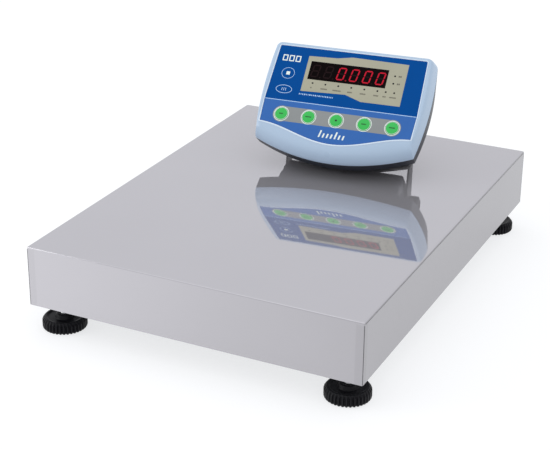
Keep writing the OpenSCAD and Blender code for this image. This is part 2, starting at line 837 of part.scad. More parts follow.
lower_side_rails();
lower_end_rails();
load_cell_beam();
rail_end_caps();
foot_bushes();
foot_lock_nuts();
lower_spacer();
load_cell();
load_cell_potting();
fixed_end_bolts();
overload_stops();
stop_lock_nuts();
level_body();
level_vial();
base_gland();
upper_side_rails();
upper_end_rails();
live_end_plate();
upper_spacer();
live_end_bolts();
platter_buffers();
platter();
platter_ribs();
foot_stud([-1, -1]);  // foot_stud_fl
foot_stud([1, -1]);  // foot_stud_fr
foot_stud([-1, 1]);  // foot_stud_rl
foot_stud([1, 1]);  // foot_stud_rr
foot_wheel([-1, -1]);  // foot_wheel_fl
foot_wheel([1, -1]);  // foot_wheel_fr
foot_wheel([-1, 1]);  // foot_wheel_rl
foot_wheel([1, 1]);  // foot_wheel_rr
tilt_bracket();
bracket_pads();
front_bezel();
rear_case();
case_gasket();
front_overlay();
display_window();
display_board();
digit_modules();
indicator_lamps();
key_switches();
main_board();
battery();
transformer();
case_screws();
knob_inserts();
mains_gland();
signal_gland();
switch_frame();
power_rocker();
key_cap(0);  // key_1
key_cap(1);  // key_2
key_cap(2);  // key_3
key_cap(3);  // key_4
key_cap(4);  // key_5
clamp_knob(-1);  // clamp_knob_left
clamp_knob(1);  // clamp_knob_right
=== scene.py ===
import json
import math
import random

import bmesh
import bpy
from mathutils import Matrix, Vector


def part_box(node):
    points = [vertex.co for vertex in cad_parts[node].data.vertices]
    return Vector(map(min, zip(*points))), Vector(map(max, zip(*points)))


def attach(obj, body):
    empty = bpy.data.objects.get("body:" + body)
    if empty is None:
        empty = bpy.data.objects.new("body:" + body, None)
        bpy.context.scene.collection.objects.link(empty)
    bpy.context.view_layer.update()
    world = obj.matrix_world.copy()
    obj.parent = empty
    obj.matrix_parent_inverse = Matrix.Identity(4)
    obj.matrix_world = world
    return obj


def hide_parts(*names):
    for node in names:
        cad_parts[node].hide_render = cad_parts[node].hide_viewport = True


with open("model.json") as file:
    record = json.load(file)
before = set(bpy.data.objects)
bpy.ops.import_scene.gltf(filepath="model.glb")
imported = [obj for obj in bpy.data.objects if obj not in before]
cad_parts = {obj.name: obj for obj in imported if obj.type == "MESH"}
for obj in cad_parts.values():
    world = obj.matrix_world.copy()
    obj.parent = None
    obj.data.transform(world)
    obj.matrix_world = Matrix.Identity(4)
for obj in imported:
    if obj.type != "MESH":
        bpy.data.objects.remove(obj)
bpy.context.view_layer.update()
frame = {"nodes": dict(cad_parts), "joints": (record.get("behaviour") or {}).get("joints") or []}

NODES = frame["nodes"]
JOINTS = {joint["name"]: joint for joint in frame["joints"]}
MM = 0.001


# ---------- places, all from the frame ----------

def span(node, axis):
    """Lowest and highest reach of a CAD node along a direction, in metres."""
    reach = [vertex.co.dot(axis) for vertex in NODES[node].data.vertices]
    return min(reach), max(reach)


def middle(node, axis):
    low, high = span(node, axis)
    return (low + high) / 2


def axes_frame(x_axis, y_axis, z_axis, origin):
    """Placement matrix from three directions and an origin, for points given in millimetres."""
    matrix = Matrix((x_axis, y_axis, z_axis)).transposed().to_4x4()
    matrix.translation = origin
    return matrix @ Matrix.Scale(MM, 4)


TILT_AXIS = Vector(JOINTS["head_tilt"]["axis"]).normalized()
PANEL_OUT = -Vector(JOINTS["key_3_press"]["axis"]).normalized()
PANEL_UP = PANEL_OUT.cross(TILT_AXIS)

# The panel frame: origin on the middle key at the overlay's surface, x along the keys, y up, z out
PANEL = axes_frame(
    TILT_AXIS,
    PANEL_UP,
    PANEL_OUT,
    TILT_AXIS * middle("key_3", TILT_AXIS)
    + PANEL_UP * middle("key_3", PANEL_UP)
    + PANEL_OUT * span("front_overlay", PANEL_OUT)[1],
)
PANEL_INVERSE = PANEL.inverted()


def panel_reach(node, axis):
    """Reach of a CAD node along one axis of the panel frame, in millimetres."""
    values = [(PANEL_INVERSE @ vertex.co)[axis] for vertex in NODES[node].data.vertices]
    return min(values), max(values)


def panel_middle(node, axis):
    low, high = panel_reach(node, axis)
    return (low + high) / 2


PLATTER_LOW, PLATTER_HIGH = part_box("platter")
FEET = ("fl", "fr", "rl", "rr")
SIDE_PAINTED_SHADES = (0.78, 1.0)  # painted shade: share of the darker mixing colour at the front and rear end of a side
END_PAINTED_SHADES = (-0.06, 0.5)  # painted shade: the same at the left and right end of the front and rear
BAND_PAINTED_SHADE = 0.14  # painted shade added in the bands beside the vertical corners
FACE_SKIN = (0.0008, 0.0003)  # metres inside the pan's reach where a face's own painted shade sets in
LARGE_FLAT_FACE = 0.002  # square metres; larger faces keep their own flat normals


# ---------- mesh helpers ----------

def add_object(name, mesh, body, material, smooth=True, angle=40):
    piece = bpy.data.objects.new(name, mesh)
    bpy.context.scene.collection.objects.link(piece)
    if smooth:
        mesh.set_sharp_from_angle(angle=math.radians(angle))  # this also makes every face smooth
    for face in mesh.polygons:
        face.use_smooth = smooth and face.area < LARGE_FLAT_FACE
    mesh.materials.append(material)
    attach(piece, body)
    return piece


def finish_mesh(builder, name, placement=None):
    """Cleans a bmesh, gives it outward normals and turns it into mesh data in metres."""
    bmesh.ops.remove_doubles(builder, verts=builder.verts, dist=1e-5)
    bmesh.ops.recalc_face_normals(builder, faces=builder.faces)
    mesh = bpy.data.meshes.new(name)
    builder.to_mesh(mesh)
    builder.free()
    mesh.transform(placement if placement is not None else Matrix.Scale(MM, 4))
    return mesh


def loft(rings, closed_rings=False, cap_first=False, cap_last=False):
    """Skins a list of closed rings that have the same number of points."""
    builder = bmesh.new()
    rows = [[builder.verts.new(point) for point in ring] for ring in rings]
    count = len(rows[0])
    pairs = list(zip(rows, rows[1:]))
    if closed_rings:
        pairs.append((rows[-1], rows[0]))
    for low, high in pairs:
        for k in range(count):
            after = (k + 1) % count
            builder.faces.new((low[k], low[after], high[after], high[k]))
    if cap_first:
        builder.faces.new(rows[0][::-1])
    if cap_last:
        builder.faces.new(rows[-1])
    return builder


def revolve(profile, steps=64, radius_at=None):
    """Turns a profile of (radius, height) about z. radius_at(angle, radius, height) may change a radius."""
    rings = []
    for radius, height in profile:
        ring = []
        for k in range(steps):
            angle = math.tau * k / steps
            reach = radius_at(angle, radius, height) if radius_at else radius
            ring.append((reach * math.cos(angle), reach * math.sin(angle), height))
        rings.append(ring)
    return loft(rings, cap_first=True, cap_last=True)


def rounded_profile(points, bend=1.0, steps=4):
    """Rounds the inner corners of an open profile of points with small arcs."""
    result = [points[0]]
    for before, corner, after in zip(points, points[1:], points[2:]):
        a = Vector(before) - Vector(corner)
        b = Vector(after) - Vector(corner)
        cut = min(bend, a.length * 0.45, b.length * 0.45)
        start = Vector(corner) + a.normalized() * cut
        end = Vector(corner) + b.normalized() * cut
        for k in range(steps + 1):
            t = k / steps
            point = start * (1 - t) ** 2 + Vector(corner) * 2 * t * (1 - t) + end * t ** 2
            result.append(tuple(point))
    result.append(points[-1])
    return result


def inlay(loops, low, high):
    """A thin flat solid with holes: the first loop is its outline and the others are holes."""
    builder = bmesh.new()
    edges = []
    for loop in loops:
        points = [builder.verts.new((x, y, low)) for x, y in loop]
        for k, point in enumerate(points):
            edges.append(builder.edges.new((point, points[(k + 1) % len(points)])))
    faces = bmesh.ops.triangle_fill(builder, edges=edges, use_beauty=True)["geom"]
    faces = [item for item in faces if isinstance(item, bmesh.types.BMFace)]
    raised = bmesh.ops.extrude_face_region(builder, geom=faces)["geom"]
    moved = [item for item in raised if isinstance(item, bmesh.types.BMVert)]
    bmesh.ops.translate(builder, verts=moved, vec=(0, 0, high - low))
    return builder


def circle(x, y, radius, steps=32):
    return [(x + radius * math.cos(math.tau * k / steps), y + radius * math.sin(math.tau * k / steps))
            for k in range(steps)]


def capsule(x0, x1, y, radius, steps=12):
    """Outline of a bar with round ends along x."""
    right = [(x1 + radius * math.cos(a), y + radius * math.sin(a))
             for a in (math.pi * (k / steps - 0.5) for k in range(steps + 1))]
    left = [(x0 + radius * math.cos(a), y + radius * math.sin(a))
            for a in (math.pi * (k / steps + 0.5) for k in range(steps + 1))]
    return right + left


def rectangle(x0, x1, y0, y1):
    return [(x0, y0), (x1, y0), (x1, y1), (x0, y1)]


def join_builders(builders):
    """Puts several bmeshes into one."""
    whole = bmesh.new()
    for part in builders:
        mesh = bpy.data.meshes.new("part")
        part.to_mesh(mesh)
        part.free()
        whole.from_mesh(mesh)
        bpy.data.meshes.remove(mesh)
    return whole


def bevel_edges(builder, width, segments=3, angle=30):
    sharp = [edge for edge in builder.edges
             if len(edge.link_faces) == 2 and edge.calc_face_angle() > math.radians(angle)]
    bmesh.ops.bevel(builder, geom=sharp, offset=width, segments=segments, profile=0.5, affect="EDGES")


# ---------- materials ----------

class Shader:
    """A principled material with helpers for procedural variation in object space."""

    def __init__(self, name, color, roughness, **sockets):
        self.material = bpy.data.materials.new(name)
        self.material.use_nodes = True
        self.tree = self.material.node_tree
        self.shader = self.tree.nodes["Principled BSDF"]
        self.set("Base Color", (*color, 1))
        self.set("Roughness", roughness)
        for socket, value in sockets.items():
            self.set(socket.replace("_", " "), value)
        self.color = color
        self.roughness = roughness
        self.heights = []

    def set(self, socket, value):
        self.shader.inputs[socket].default_value = value

    def node(self, kind, **inputs):
        node = self.tree.nodes.new(kind)
        for name, value in inputs.items():
            node.inputs[name.replace("_", " ")].default_value = value
        return node

    def link(self, output, target):
        self.tree.links.new(output, target)

    def noise(self, scale, stretch=(1, 1, 1), detail=4.0, rough=0.55):
        """Noise over the object's own coordinates in metres, stretched per axis."""
        coordinates = self.node("ShaderNodeTexCoord")
        mapping = self.node("ShaderNodeMapping")
        mapping.inputs["Scale"].default_value = stretch
        self.link(coordinates.outputs["Object"], mapping.inputs["Vector"])
        noise = self.node("ShaderNodeTexNoise", Scale=scale, Detail=detail, Roughness=rough)
        self.link(mapping.outputs["Vector"], noise.inputs["Vector"])
        return noise.outputs["Fac"]

    def remap(self, value, low, high, from_low=0.3, from_high=0.7):
        ramp = self.node("ShaderNodeMapRange")
        ramp.inputs["From Min"].default_value = from_low
        ramp.inputs["From Max"].default_value = from_high
        ramp.inputs["To Min"].default_value = low
        ramp.inputs["To Max"].default_value = high
        self.link(value, ramp.inputs["Value"])
        return ramp.outputs["Result"]

    def vary_roughness(self, value, spread):
        low = max(self.roughness - spread, 0.02)
        self.link(self.remap(value, low, self.roughness + spread), self.shader.inputs["Roughness"])
        return self

    def vary_color(self, value, other):
        return self.mix_color(self.remap(value, 0, 1), other)

    def mix_color(self, share, other):
        mix = self.node("ShaderNodeMix")
        mix.data_type = "RGBA"
        for socket in mix.inputs:
            if socket.name == "A" and socket.type == "RGBA":
                socket.default_value = (*self.color, 1)
            if socket.name == "B" and socket.type == "RGBA":
                socket.default_value = (*other, 1)
        self.link(share, mix.inputs["Factor"])
        result = [socket for socket in mix.outputs if socket.type == "RGBA"][0]
        self.link(result, self.shader.inputs["Base Color"])
        return self

    def bump(self, value, strength, distance):
        bump = self.node("ShaderNodeBump", Strength=strength, Distance=distance)
        self.link(value, bump.inputs["Height"])
        if self.heights:
            self.link(self.heights[-1].outputs["Normal"], bump.inputs["Normal"])
        self.heights.append(bump)
        self.link(bump.outputs["Normal"], self.shader.inputs["Normal"])
        return self


def plastic(name, color, roughness, other=None, grain=2500, bump=0.04, **sockets):
    """Moulded plastic: fine texture, slow colour drift and uneven gloss."""
    shader = Shader(name, color, roughness, **sockets)
    fine = shader.noise(grain, detail=2)
    slow = shader.noise(9, detail=3)
    shader.vary_roughness(slow, 0.03)
    shader.vary_color(slow, other or tuple(c * 0.94 for c in color))
    shader.bump(fine, bump, 0.0002)
    return shader.material


def steel(name, color, roughness, stretch=(1, 1, 1), grain=900):
    """Bare metal with a grain that can be stretched along one direction."""
    shader = Shader(name, color, roughness, Metallic=1.0)
    lines = shader.noise(grain, stretch=stretch, detail=3)
    slow = shader.noise(5, detail=2)
    shader.vary_roughness(lines, 0.05)
    shader.vary_color(slow, tuple(c * 0.96 for c in color))
    shader.bump(lines, 0.03, 0.0001)
    return shader.material


def folded_steel(name, color, roughness, half_x, half_y, top):
    """Half mirror steel sheet with painted shade: each face of the fold gets its own painted shade, darker in
    bands beside the corners.
    """
    shader = Shader(name, color, roughness, Metallic=0.62)
    lines = shader.noise(1600, stretch=(1, 0.02, 1), detail=3)
    shader.vary_roughness(lines, 0.01)
    shader.bump(lines, 0.004, 0.0001)
    coordinates = shader.node("ShaderNodeTexCoord")
    split = shader.node("ShaderNodeSeparateXYZ")
    shader.link(coordinates.outputs["Object"], split.inputs["Vector"])

    def calculate(operation, *values):
        node = shader.node("ShaderNodeMath")
        node.operation = operation
        for socket, value in zip(node.inputs, values):
            if isinstance(value, (int, float)):
                socket.default_value = value
            else:
                shader.link(value, socket)
        return node.outputs["Value"]

    def near_edge(value, edge, start, end):
        """Grows from 0 to 1 between two distances inside an edge."""
        return shader.remap(value, 0, 1, edge - start, edge - end)

    x = calculate("ABSOLUTE", split.outputs["X"])
    y = calculate("ABSOLUTE", split.outputs["Y"])
    # masks of the pan's sides and ends, where each face's painted shade applies
    on_side = near_edge(x, half_x, *FACE_SKIN)
    on_end = calculate("MULTIPLY", near_edge(y, half_y, *FACE_SKIN), calculate("SUBTRACT", 1, on_side))
    below_bend = shader.remap(split.outputs["Z"], 0, 1, top - 0.0025, top - 0.004)
    side_painted_shade = shader.remap(split.outputs["Y"], *SIDE_PAINTED_SHADES, -half_y, half_y)
    end_painted_shade = shader.remap(split.outputs["X"], *END_PAINTED_SHADES, -half_x, half_x)
    # bands beside the vertical corners below the bend, which get extra painted shade
    end_bands = calculate("MULTIPLY", on_end, near_edge(x, half_x, 0.0111, 0.0099))
    side_bands = calculate("MULTIPLY", on_side, near_edge(y, half_y, 0.0098, 0.0082))
    bands = calculate("MULTIPLY", calculate("MAXIMUM", end_bands, side_bands), below_bend)
    # painted shade of each face and its corner bands, plus a little random tone from slow noise, mixed towards a
    # darker colour
    shade = calculate("ADD", calculate("MULTIPLY", on_side, side_painted_shade), calculate("MULTIPLY", on_end, end_painted_shade))
    shade = calculate("ADD", shade, calculate("MULTIPLY", bands, BAND_PAINTED_SHADE))
    shade = calculate("ADD", shade, shader.remap(shader.noise(5, detail=2), 0, 0.06))
    shader.mix_color(shade, tuple(c * 0.6 for c in color))
    return shader.material


def powder_coat(name, color, roughness, bump=0.15):
    shader = Shader(name, color, roughness)
    peel = shader.noise(700, detail=2)
    shader.bump(peel, bump, 0.0003)
    shader.vary_roughness(shader.noise(30), 0.06)
    shader.vary_color(shader.noise(14), tuple(c * 0.9 for c in color))
    return shader.material


def film(name, color, roughness=0.38, gloss=0.12):
    """Printed polycarbonate film: fine velvet texture under a weak gloss."""
    shader = Shader(name, color, roughness, Specular_IOR_Level=gloss)
    shader.vary_color(shader.noise(25, detail=3), tuple(c * 0.95 for c in color))
    shader.vary_roughness(shader.noise(18), 0.04)
    shader.bump(shader.noise(6000, detail=1), 0.03, 0.0001)
    return shader.material


def glow(name, color, strength, body=(0.012, 0.002, 0.003)):
    """A lit or unlit display segment: a dark body with an emission that varies a little."""
    shader = Shader(name, body, 0.4, Specular_IOR_Level=0.1)
    shader.vary_color(shader.noise(400), tuple(c * 0.7 for c in body))
    shader.set("Emission Color", (*color, 1))
    pulse = shader.remap(shader.noise(260), strength * 0.9, strength)
    shader.link(pulse, shader.shader.inputs["Emission Strength"])
    return shader.material


MATERIALS = {
    # pan steel with painted shade on each face and beside the corners
    "stainless": folded_steel("stainless", (0.568, 0.556, 0.584), 0.03, PLATTER_HIGH.x, PLATTER_HIGH.y,
                              PLATTER_HIGH.z),
    "zinc": steel("zinc", (0.68, 0.69, 0.7), 0.3, grain=1200),
    "frame_paint": powder_coat("frame_paint", (0.3, 0.31, 0.33), 0.45),
    "alloy": steel("alloy", (0.74, 0.75, 0.76), 0.32, stretch=(1, 0.05, 1)),
    "black_plastic": plastic("black_plastic", (0.004, 0.004, 0.006), 0.38, other=(0.008, 0.008, 0.01),
                             Specular_IOR_Level=0.16),
    "rubber": plastic("rubber", (0.018, 0.018, 0.018), 0.75, bump=0.1),
    "potting": plastic("potting", (0.75, 0.75, 0.72), 0.5, grain=300),
    "bracket_paint": powder_coat("bracket_paint", (0.03, 0.032, 0.038), 0.42),
    "bezel": plastic("bezel", (0.44, 0.565, 0.715), 0.3, other=(0.434, 0.558, 0.706), bump=0.02),
    # the bezel's plastic made lighter: a painted highlight along the lip
    "bezel_lip_painted_highlight": plastic("bezel_lip_painted_highlight", (0.72, 0.82, 0.93), 0.25, other=(0.68, 0.79, 0.9), bump=0.01),
    "case": plastic("case", (0.016, 0.02, 0.032), 0.4, other=(0.02, 0.024, 0.036), bump=0.08),
    "film_blue": film("film_blue", (0.0, 0.07, 0.3), gloss=0.05),
    "film_mid": film("film_mid", (0.045, 0.15, 0.45), gloss=0.08),
    "film_light": film("film_light", (0.5, 0.7, 0.95)),
    "film_beige": film("film_beige", (0.42, 0.41, 0.31), 0.45),
    "film_grey": film("film_grey", (0.285, 0.3, 0.3)),
    "film_white": film("film_white", (0.84, 0.92, 0.86)),
    "film_ink": film("film_ink", (0.03, 0.03, 0.03)),
    "film_label": film("film_label", (0.16, 0.15, 0.12)),
    "window": plastic("window", (0.003, 0.0006, 0.001), 0.12, other=(0.002, 0.0004, 0.0007), bump=0.0,
                      Specular_IOR_Level=0.05),
    "lit": glow("lit", (1.0, 0.012, 0.05), 0.55),
    "point": glow("point", (1.0, 0.012, 0.04), 0.22),
    # segments that are off still get a faint painted glow
    "unlit": glow("unlit", (0.02, 0.001, 0.002), 0.2, body=(0.006, 0.001, 0.002)),
    "board": plastic("board", (0.01, 0.13, 0.05), 0.35, grain=600),
    "brass": steel("brass", (0.78, 0.6, 0.25), 0.28),
    "key": plastic("key", (0.04, 0.49, 0.085), 0.36, other=(0.055, 0.53, 0.11), bump=0.02,
                   Specular_IOR_Level=0.25),
    "rocker": plastic("rocker", (0.5, 0.015, 0.012), 0.2, bump=0.01),
    "vial": plastic("vial", (0.6, 0.8, 0.12), 0.08, bump=0.0, Transmission_Weight=0.7),
    "winding": plastic("winding", (0.42, 0.3, 0.06), 0.4, grain=500),
}

CAD_LOOKS = {
    "frame_paint": ("lower_side_rails", "lower_end_rails", "load_cell_beam", "upper_side_rails",
                    "upper_end_rails", "live_end_plate"),
    "zinc": ("foot_bushes", "foot_lock_nuts", "fixed_end_bolts", "live_end_bolts", "overload_stops",
             "stop_lock_nuts", "case_screws"),
    "alloy": ("lower_spacer", "upper_spacer", "load_cell"),
    "stainless": ("platter_ribs",),
    "potting": ("load_cell_potting",),
    "black_plastic": ("level_body", "base_gland", "rail_end_caps", "mains_gland", "signal_gland",
                      "switch_frame", "digit_modules", "indicator_lamps", "key_switches", "battery"),
    "vial": ("level_vial",),
    "rubber": ("platter_buffers", "bracket_pads", "case_gasket"),
    "bracket_paint": ("tilt_bracket",),
    "film_blue": ("front_overlay",),
    "window": ("display_window",),
    "board": ("display_board", "main_board"),
    "winding": ("transformer",),
    "brass": ("knob_inserts",),
    "rocker": ("power_rocker",),
}


def dress_cad_nodes():
    for look, names in CAD_LOOKS.items():
        for name in names:
            mesh = NODES[name].data
            mesh.materials.clear()
            mesh.materials.append(MATERIALS[look])


# ---------- platter ----------

def build_platter():
    """Folded pan: rounded top bends, tight vertical corners with a dark seam, and a hollow inside."""
    low, high = PLATTER_LOW / MM, PLATTER_HIGH / MM
    bend = 1.7
    corner = 1.6
    sheet = 1.5
    seam = 0.45
    steps = 6

    def ring(grow, z, radius):
        """Rounded rectangle round the pan at height z."""
        half_x = (high.x - low.x) / 2 + grow
        half_y = (high.y - low.y) / 2 + grow
        points = []
        for quarter, (sx, sy) in enumerate(((1, 1), (-1, 1), (-1, -1), (1, -1))):
            for k in range(steps + 1):
                angle = math.pi / 2 * (quarter + k / steps)
                points.append((sx * (half_x - radius) + radius * math.cos(angle),
                               sy * (half_y - radius) + radius * math.sin(angle), z))
        return points

    outer = [ring(0, low.z + 0.3, corner)]
    outer.append(ring(0, high.z - bend, corner))
    for k in range(1, 7):
        angle = math.pi / 2 * k / 6
        drop = bend * (1 - math.cos(angle))
        outer.append(ring(-drop, high.z - bend + bend * math.sin(angle), corner + 0.9 * drop))
    inner = [ring(-bend - sheet, high.z - sheet, corner + 1.5), ring(-sheet, high.z - sheet - bend, corner),
             ring(-sheet, low.z + 0.3, corner - 0.4), ring(-sheet * 0.75, low.z, corner - 0.2),
             ring(-sheet * 0.25, low.z, corner)]
    builder = loft(outer)
    top = [vertex for vertex in builder.verts if abs(vertex.co.z - high.z) < 1e-4]
    top.sort(key=lambda vertex: math.atan2(vertex.co.y, vertex.co.x))
    builder.faces.new(top)
    inside = loft(inner)
    ceiling = [vertex for vertex in inside.verts if abs(vertex.co.z - (high.z - sheet)) < 1e-4]
    ceiling.sort(key=lambda vertex: math.atan2(vertex.co.y, vertex.co.x))
    inside.faces.new(ceiling)
    lip = loft([inner[-1], outer[0]])
    whole = join_builders([builder, inside, lip])
    mesh = finish_mesh(whole, "platter_pan")
    pan = add_object("platter_pan", mesh, "platter", MATERIALS["stainless"], angle=25)
    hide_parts("platter")
    for sx in (-1, 1):
        for sy in (-1, 1):
            build_seam(sx, sy, low, high, seam)
        # painted shade line under the top's fold on each side
        build_fold_shadow_line(sx, low, high, bend)


def build_seam(sx, sy, low, high, width):
    """Dark line of the folded corner, a hair proud of the pan."""
    builder = bmesh.new()
    bmesh.ops.create_cube(builder, size=1)
    x = (high.x if sx > 0 else low.x) - sx * 0.45
    y = (high.y if sy > 0 else low.y) - sy * 0.45
    height = high.z - low.z - 4
    bmesh.ops.scale(builder, verts=builder.verts, vec=(width, width * 1.6, height))
    bmesh.ops.rotate(builder, verts=builder.verts, cent=(0, 0, 0),
                     matrix=Matrix.Rotation(-math.pi / 4 * sx * sy, 3, "Z"))
    bmesh.ops.translate(builder, verts=builder.verts, vec=(x, y, (low.z + high.z) / 2 - 1.5))
    bevel_edges(builder, 0.05, 1)
    name = "corner_seam_" + ("r" if sy > 0 else "f") + ("r" if sx > 0 else "l")
    mesh = finish_mesh(builder, name)
    add_object(name, mesh, "platter", MATERIALS["film_ink"])


def build_fold_shadow_line(sx, low, high, bend):
    """Painted shade: a fine dark strip just under the top's fold along a side, where the top and side are one bent
    sheet.
    """
    builder = bmesh.new()
    bmesh.ops.create_cube(builder, size=1)
    length = high.y - low.y - 5
    bmesh.ops.scale(builder, verts=builder.verts, vec=(0.16, length, 0.85))
    x = (high.x if sx > 0 else low.x) - sx * 0.06
    bmesh.ops.translate(builder, verts=builder.verts, vec=(x, (low.y + high.y) / 2, high.z - bend - 0.5))
    bevel_edges(builder, 0.04, 1)
    name = "fold_shadow_line_" + ("r" if sx > 0 else "l")
    add_object(name, finish_mesh(builder, name), "platter", MATERIALS["film_ink"])


# ---------- feet ----------

def threaded_rod(radius, low, high, pitch, depth=0.6, steps=36):
    """A rod whose surface follows a helical thread."""
    rings = []
    rows = int((high - low) / pitch * 6)
    for row in range(rows + 1):
        z = low + (high - low) * row / rows
        ring = []
        for k in range(steps):
            turn = (z / pitch - k / steps) % 1.0
            crest = 1 - abs(2 * turn - 1)
            fade = min(1, (z - low) / pitch, (high - z) / pitch)
            reach = radius - depth * (1 - crest * fade)
            ring.append((reach * math.cos(math.tau * k / steps), reach * math.sin(math.tau * k / steps), z))
        rings.append(ring)
    return loft(rings, cap_first=True, cap_last=True)


def build_feet():
    for foot in FEET:
        node = "foot_wheel_" + foot
        low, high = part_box(node)
        centre = (low + high) / 2
        place = Matrix.Translation((centre.x, centre.y, 0)) @ Matrix.Scale(MM, 4)
        radius = (high.x - low.x) / 2 / MM
        top = high.z / MM
        build_wheel(foot, node, place, radius, top)
        node = "foot_stud_" + foot
        stud_low, stud_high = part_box(node)
        rod = threaded_rod((stud_high.x - stud_low.x) / 2 / MM, stud_low.z / MM, stud_high.z / MM, 1.5)
        stud = add_object("threaded_stud_" + foot, finish_mesh(rod, "threaded_stud", place),
                          "stud_" + foot, MATERIALS["zinc"])
        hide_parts(node)


def build_wheel(foot, node, place, radius, top):
    """Knurled foot wheel: rounded ribs round the rim, a dished top and a hub."""
    ribs = 36
    shoulder = top - 8
    outline = [(radius - 5, 0), (radius - 1.6, 0), (radius, 1.8), (radius, shoulder),
               (radius - 3.2, shoulder + 4), (radius - 5.5, shoulder + 4.2), (radius - 8, shoulder + 2.4),
               (12.5, shoulder + 2.2), (10.5, top - 0.8), (9.4, top), (5.6, top)]
    profile = rounded_profile(outline, 1.2, 4)

    def ribbed(angle, reach, z):
        edge = max(0.0, min(1.0, (reach - (radius - 4.5)) / 3))
        wave = math.cos(angle * ribs)
        groove = max(0.0, 0.15 - wave) ** 0.6
        fade = min(1.0, max(0.0, (shoulder + 4.4 - z) / 2.2))
        return reach - 2.1 * groove * edge * fade

    builder = revolve(profile, steps=ribs * 12, radius_at=ribbed)
    wheel = add_object("knurled_wheel_" + foot, finish_mesh(builder, "knurled_wheel", place),
                       "wheel_" + foot, MATERIALS["black_plastic"], angle=50)
    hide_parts(node)


# ---------- terminal outlines, in the panel frame ----------

# Half widths at the lower corner, middle and top; heights of the lower corner, top and lowest
# point; radius of the top corners
FRONT_EDGE = (113, 115.5, 112, -17, 109.5, -39.5, 9)
PARTING = (114, 121.5, 116.5, -33, 113.5, -57, 12)
RIM_EDGE = (113, 120.5, 117.5, -32, 80, -56, 12)
OVERLAY_TOP = (107, 104.5)
OVERLAY_MID = (110, 20.5)
OVERLAY_LOW = (108.6, -13.6)
OVERLAY_CORNER = 2.0
BELL_DROP = 22
BOTTOM_STEPS = 48
SIDE_STEPS = 18
CORNER_STEPS = 8
TOP_STEPS = 12


def mix(a, b, share):
    return a + (b - a) * share


def curve_through(y, outline):
    """Half width at height y on the smooth curve through the outline's three half widths."""
    low, high = outline[3], outline[4]
    mid = (low + high) / 2
    return (outline[0] * (y - mid) * (y - high) / ((low - mid) * (low - high))
            + outline[1] * (y - low) * (y - high) / ((mid - low) * (mid - high))
            + outline[2] * (y - low) * (y - mid) / ((high - low) * (high - mid)))


def shell_outline(outline):
    """Points of a shell's outline, anticlockwise from the lowest point's left corner."""
    corner_x, corner_y, bottom, radius = outline[0], outline[3], outline[5], outline[6]
    shoulder = outline[4] - radius
    shoulder_x = curve_through(shoulder, outline)
    right = [(curve_through(y, outline), y)
             for y in (mix(corner_y, shoulder, k / SIDE_STEPS) for k in range(SIDE_STEPS))]
    arc = [(shoulder_x - radius + radius * math.cos(a), shoulder + radius * math.sin(a))
           for a in (math.pi / 2 * k / CORNER_STEPS for k in range(CORNER_STEPS + 1))]
    low = [(corner_x * s, bottom + (corner_y - bottom) * s * s)
           for s in (mix(-1, 1, k / BOTTOM_STEPS) for k in range(BOTTOM_STEPS))]
    inner_top = arc[-1][0]
    top = [(inner_top * mix(1, -1, k / TOP_STEPS), outline[4]) for k in range(1, TOP_STEPS)]
    left_arc = [(-x, y) for x, y in reversed(arc)]
    left = [(-x, y) for x, y in reversed(right)]
    return low + right + arc + top + left_arc + left[:-1]


def bell_height(x):
    share = min(abs(x) / OVERLAY_LOW[0], 1)
    return OVERLAY_LOW[1] - BELL_DROP * math.cos(share * math.pi / 2) ** 1.8


def overlay_outline():
    """Points of the overlay's outline, one for each point of a shell outline."""
    low = []
    for k in range(BOTTOM_STEPS):
        x = OVERLAY_LOW[0] * mix(-1, 1, k / BOTTOM_STEPS)
        low.append((x, bell_height(x)))
    radius = OVERLAY_CORNER
    shoulder = OVERLAY_TOP[1] - radius

    def edge_x(y):
        if y > OVERLAY_MID[1]:
            return mix(OVERLAY_MID[0], OVERLAY_TOP[0], (y - OVERLAY_MID[1]) / (OVERLAY_TOP[1] - OVERLAY_MID[1]))
        return mix(OVERLAY_LOW[0], OVERLAY_MID[0], (y - OVERLAY_LOW[1]) / (OVERLAY_MID[1] - OVERLAY_LOW[1]))

    right = [(edge_x(y), y) for y in (mix(OVERLAY_LOW[1], shoulder, k / SIDE_STEPS) for k in range(SIDE_STEPS))]
    arc = [(OVERLAY_TOP[0] - radius + radius * math.cos(a), shoulder + radius * math.sin(a))
           for a in (math.pi / 2 * k / CORNER_STEPS for k in range(CORNER_STEPS + 1))]
    inner_top = arc[-1][0]
    top = [(inner_top * mix(1, -1, k / TOP_STEPS), OVERLAY_TOP[1]) for k in range(1, TOP_STEPS)]
    left_arc = [(-x, y) for x, y in reversed(arc)]
    left = [(-x, y) for x, y in reversed(right)]
    return low + right + arc + top + left_arc + left[:-1]


def bottom_share(index):
    """1 along the lower edge of an outline, 0 along its sides and top, smooth near the corners."""
    total = len(shell_outline(PARTING))
    blend = 3
    if index <= BOTTOM_STEPS:
        return 1.0
    past = min(index - BOTTOM_STEPS, total - index)
    share = max(0.0, 1 - past / blend)
    return share * share * (3 - 2 * share)


def profile_at(profile, t):
    """Value of a profile of (share outwards, height) points at place t, from 0 to 1, along it."""
    place = t * (len(profile) - 1)
    k = min(int(place), len(profile) - 2)
    part = place - k
    p0 = Vector(profile[max(k - 1, 0)])
    p1 = Vector(profile[k])
    p2 = Vector(profile[k + 1])
    p3 = Vector(profile[min(k + 2, len(profile) - 1)])
    point = 0.5 * (2 * p1 + (p2 - p0) * part + (2 * p0 - 5 * p1 + 4 * p2 - p3) * part ** 2
                   + (3 * p1 - p0 - 3 * p2 + p3) * part ** 3)
    return point


